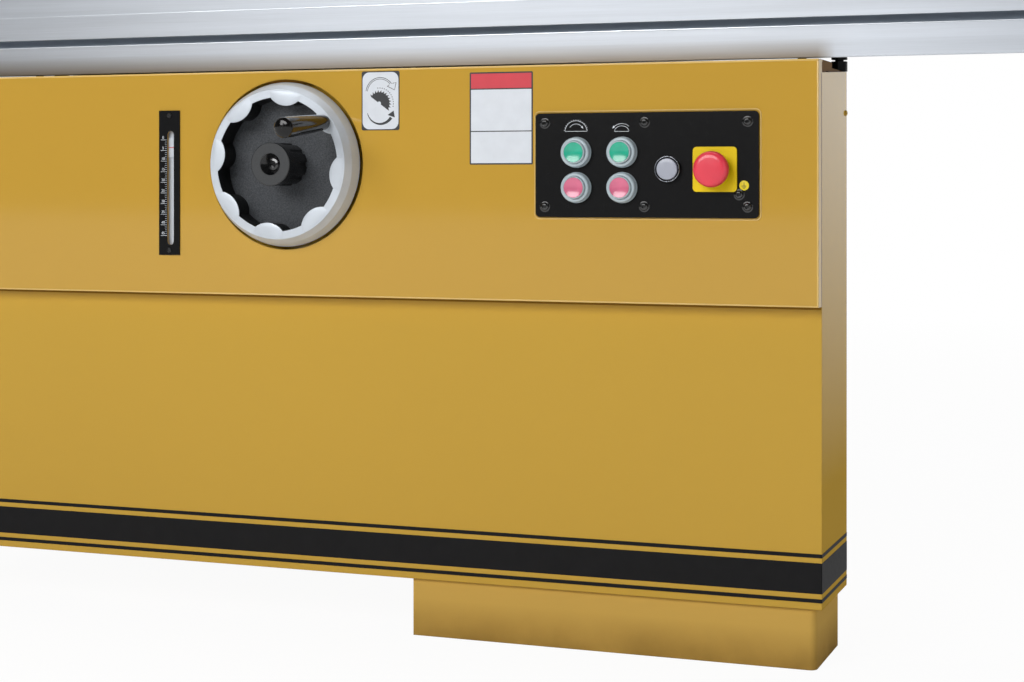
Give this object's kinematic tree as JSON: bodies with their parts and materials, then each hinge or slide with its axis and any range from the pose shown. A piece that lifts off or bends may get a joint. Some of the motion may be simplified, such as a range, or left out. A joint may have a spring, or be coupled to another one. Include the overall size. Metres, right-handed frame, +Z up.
{
  "type": "sliding table saw",
  "caption": "Sliding table panel saw: long sliding table on a roller cage, tilting main and scoring blades, cast table, rip fence, overhead guard, tilt wheel and switch panel.",
  "frame": {"origin": "middle of the whole footprint, on the floor", "axes": "+X along the sliding table's travel, +Y from the sliding table towards the rip fence, +Z up"},
  "size_m": [3.2, 1.5862, 1.2],
  "materials": {
    "paint": "glossy golden paint over welded sheet",
    "alloy": "brushed extruded aluminium",
    "bare_steel": "ground bare steel",
    "iron": "grey cast iron, machined faces",
    "black_steel": "black satin",
    "dark_plastic": "matt dark grey",
    "black_gloss": "gloss black",
    "rubber": "matt black rubber",
    "white_plastic": "matt white",
    "lens": "clear grey lens in a chrome ring",
    "yellow": "satin yellow",
    "red": "gloss red",
    "green": "gloss green",
    "guard_red": "satin red guard plastic",
    "black_anodised": "black anodised plate",
    "motor_grey": "grey motor paint"
  },
  "bodies": {
    "frame": {"front_housing": "paint", "front_apron": "paint", "plinth_feet": "paint", "saw_cabinet": "paint", "rail_beam": "paint", "base_rail": "bare_steel", "rail_jack_bolts": "black_steel", "scale_plate": "black_anodised", "scale_window": "white_plastic", "control_plate": "dark_plastic", "button_collars": "dark_plastic", "pilot_lamp": "lens", "e_stop_plate": "yellow", "main_table": "iron", "throat_insert": "alloy", "extension_table": "iron", "table_brackets": "paint", "rip_bar": "bare_steel", "trunnion_brackets": "iron", "tilt_bearings": "iron", "dust_port": "dark_plastic", "guard_post": "paint"},
    "slider": {"sliding_table": "alloy", "table_end_caps": "dark_plastic", "crosscut_fence": "alloy"},
    "stop": {"flip_stop": "red"},
    "cage": {"roller_cage": "bare_steel"},
    "tilt_wheel": {"tilt_shaft": "bare_steel", "handwheel_rim": "alloy", "handwheel_disc": "dark_plastic"},
    "wheel_grip": {"handwheel_grip": "black_gloss"},
    "lock_knob": {"handwheel_lock_knob": "dark_plastic"},
    "pointer": {"tilt_pointer": "white_plastic"},
    "cradle": {"tilt_cradle": "iron", "tilt_sector": "bare_steel", "arm_pivot_pin": "bare_steel", "scoring_motor": "motor_grey"},
    "scoring": {"scoring_blade": "bare_steel"},
    "raise_drive": {"raise_shaft": "bare_steel", "raise_handwheel": "alloy"},
    "arm": {"arbor_arm": "iron", "main_motor": "motor_grey", "drive_belt": "rubber", "riving_knife": "bare_steel"},
    "arbor": {"arbor_shaft": "bare_steel", "saw_blade": "bare_steel", "blade_clamp": "black_steel"},
    "motor_rotor": {"motor_pulley": "bare_steel"},
    "button_start_main": {"start_main": "green"},
    "button_start_scoring": {"start_scoring": "green"},
    "button_stop_main": {"stop_main": "red"},
    "button_stop_scoring": {"stop_scoring": "red"},
    "mushroom": {"e_stop_head": "red"},
    "carrier": {"fence_carrier": "black_steel"},
    "fence": {"fence_profile": "alloy"},
    "lever": {"fence_lever": "black_gloss"},
    "guard_beam": {"guard_arm": "paint"},
    "hood": {"guard_hood": "guard_red"},
    "door": {"cabinet_door": "paint"},
    "latch": {"door_latch": "black_gloss"}
  },
  "joints": [
    {"name": "table_slide", "type": "slide", "parent": "frame", "child": "slider", "axis": [1, 0, 0], "range_m": [-1.2, 1.2]},
    {"name": "roller_cage_slide", "type": "slide", "parent": "frame", "child": "cage", "axis": [1, 0, 0], "range_m": [-0.6, 0.6]},
    {"name": "flip_stop_hinge", "type": "hinge", "parent": "slider", "child": "stop", "pos_m": [0.62, -0.45986, 0.924], "axis": [0, 1, 0], "range_deg": [0, 120]},
    {"name": "saw_tilt", "type": "hinge", "parent": "frame", "child": "cradle", "pos_m": [0, -0.24286, 0.85], "axis": [-1, 0, 0], "range_deg": [-3.6, 41.4]},
    {"name": "tilt_wheel_turn", "type": "hinge", "parent": "frame", "child": "tilt_wheel", "pos_m": [0.153, -0.64286, 0.559], "axis": [0, 1, 0], "range_deg": [-492.4, 5652.1]},
    {"name": "grip_spin", "type": "hinge", "parent": "tilt_wheel", "child": "wheel_grip", "pos_m": [0.21514, -0.68526, 0.60843], "axis": [0, -0.9962, -0.0872], "continuous": true},
    {"name": "lock_knob_turn", "type": "hinge", "parent": "tilt_wheel", "child": "lock_knob", "pos_m": [0.153, -0.68286, 0.559], "axis": [0, -1, 0], "range_deg": [-90, 90]},
    {"name": "tilt_pointer_slide", "type": "slide", "parent": "frame", "child": "pointer", "axis": [0, 0, -1], "range_m": [-0.0096, 0.1087]},
    {"name": "arm_raise", "type": "hinge", "parent": "cradle", "child": "arm", "pos_m": [-0.26, -0.18107, 0.71736], "axis": [0, -0.998, 0.0628], "range_deg": [-16.6, 16.6]},
    {"name": "raise_wheel_turn", "type": "hinge", "parent": "cradle", "child": "raise_drive", "pos_m": [0, -0.19742, 0.61669], "axis": [-1, 0, 0], "range_deg": [-941.7, 941.7]},
    {"name": "arbor_spin", "type": "hinge", "parent": "arm", "child": "arbor", "pos_m": [-0.08, -0.21101, 0.71924], "axis": [0, 0.998, -0.0628], "continuous": true},
    {"name": "motor_spin", "type": "hinge", "parent": "arm", "child": "motor_rotor", "pos_m": [-0.15, -0.16503, 0.49441], "axis": [0, 0.998, -0.0628], "continuous": true},
    {"name": "scoring_spin", "type": "hinge", "parent": "cradle", "child": "scoring", "pos_m": [0.168, -0.20652, 0.7906], "axis": [0, -0.998, 0.0628], "continuous": true},
    {"name": "start_main_press", "type": "slide", "parent": "frame", "child": "button_start_main", "axis": [0, 1, 0], "range_m": [0, 0.004], "stiffness_N_per_m": 500},
    {"name": "start_scoring_press", "type": "slide", "parent": "frame", "child": "button_start_scoring", "axis": [0, 1, 0], "range_m": [0, 0.004], "stiffness_N_per_m": 500},
    {"name": "stop_main_press", "type": "slide", "parent": "frame", "child": "button_stop_main", "axis": [0, 1, 0], "range_m": [0, 0.004], "stiffness_N_per_m": 500},
    {"name": "stop_scoring_press", "type": "slide", "parent": "frame", "child": "button_stop_scoring", "axis": [0, 1, 0], "range_m": [0, 0.004], "stiffness_N_per_m": 500},
    {"name": "e_stop_press", "type": "slide", "parent": "frame", "child": "mushroom", "axis": [0, 1, 0], "range_m": [0, 0.005], "stiffness_N_per_m": 600},
    {"name": "fence_slide", "type": "slide", "parent": "frame", "child": "carrier", "axis": [0, 1, 0], "range_m": [-0.35, 0.4]},
    {"name": "fence_profile_slide", "type": "slide", "parent": "carrier", "child": "fence", "axis": [1, 0, 0], "range_m": [-0.1, 0.15]},
    {"name": "fence_lever_turn", "type": "hinge", "parent": "carrier", "child": "lever", "pos_m": [0.478, 0.30144, 0.8945], "axis": [0, -1, 0], "range_deg": [0, 60]},
    {"name": "guard_swing", "type": "hinge", "parent": "frame", "child": "guard_beam", "pos_m": [-0.466, 0.73314, 1.15], "axis": [0, 0, -1], "range_deg": [0, 70]},
    {"name": "guard_lift", "type": "slide", "parent": "guard_beam", "child": "hood", "axis": [0, 0, 1], "range_m": [0, 0.09]},
    {"name": "door_hinge", "type": "hinge", "parent": "frame", "child": "door", "pos_m": [-0.40705, 0.16414, 0.38], "axis": [0, 0, -1], "range_deg": [0, 100]},
    {"name": "latch_turn", "type": "hinge", "parent": "door", "child": "latch", "pos_m": [-0.405, -0.17286, 0.38], "axis": [1, 0, 0], "range_deg": [0, 90]}
  ],
  "couplings": [
    {"joint": "roller_cage_slide", "follows": "table_slide", "ratio": 0.5},
    {"joint": "tilt_wheel_turn", "follows": "saw_tilt", "ratio": 136.5},
    {"joint": "tilt_pointer_slide", "follows": "saw_tilt", "m_per_rad": 0.15024},
    {"joint": "raise_wheel_turn", "follows": "arm_raise", "ratio": 56.667},
    {"joint": "motor_spin", "follows": "arbor_spin", "ratio": 0.80769}
  ]
}
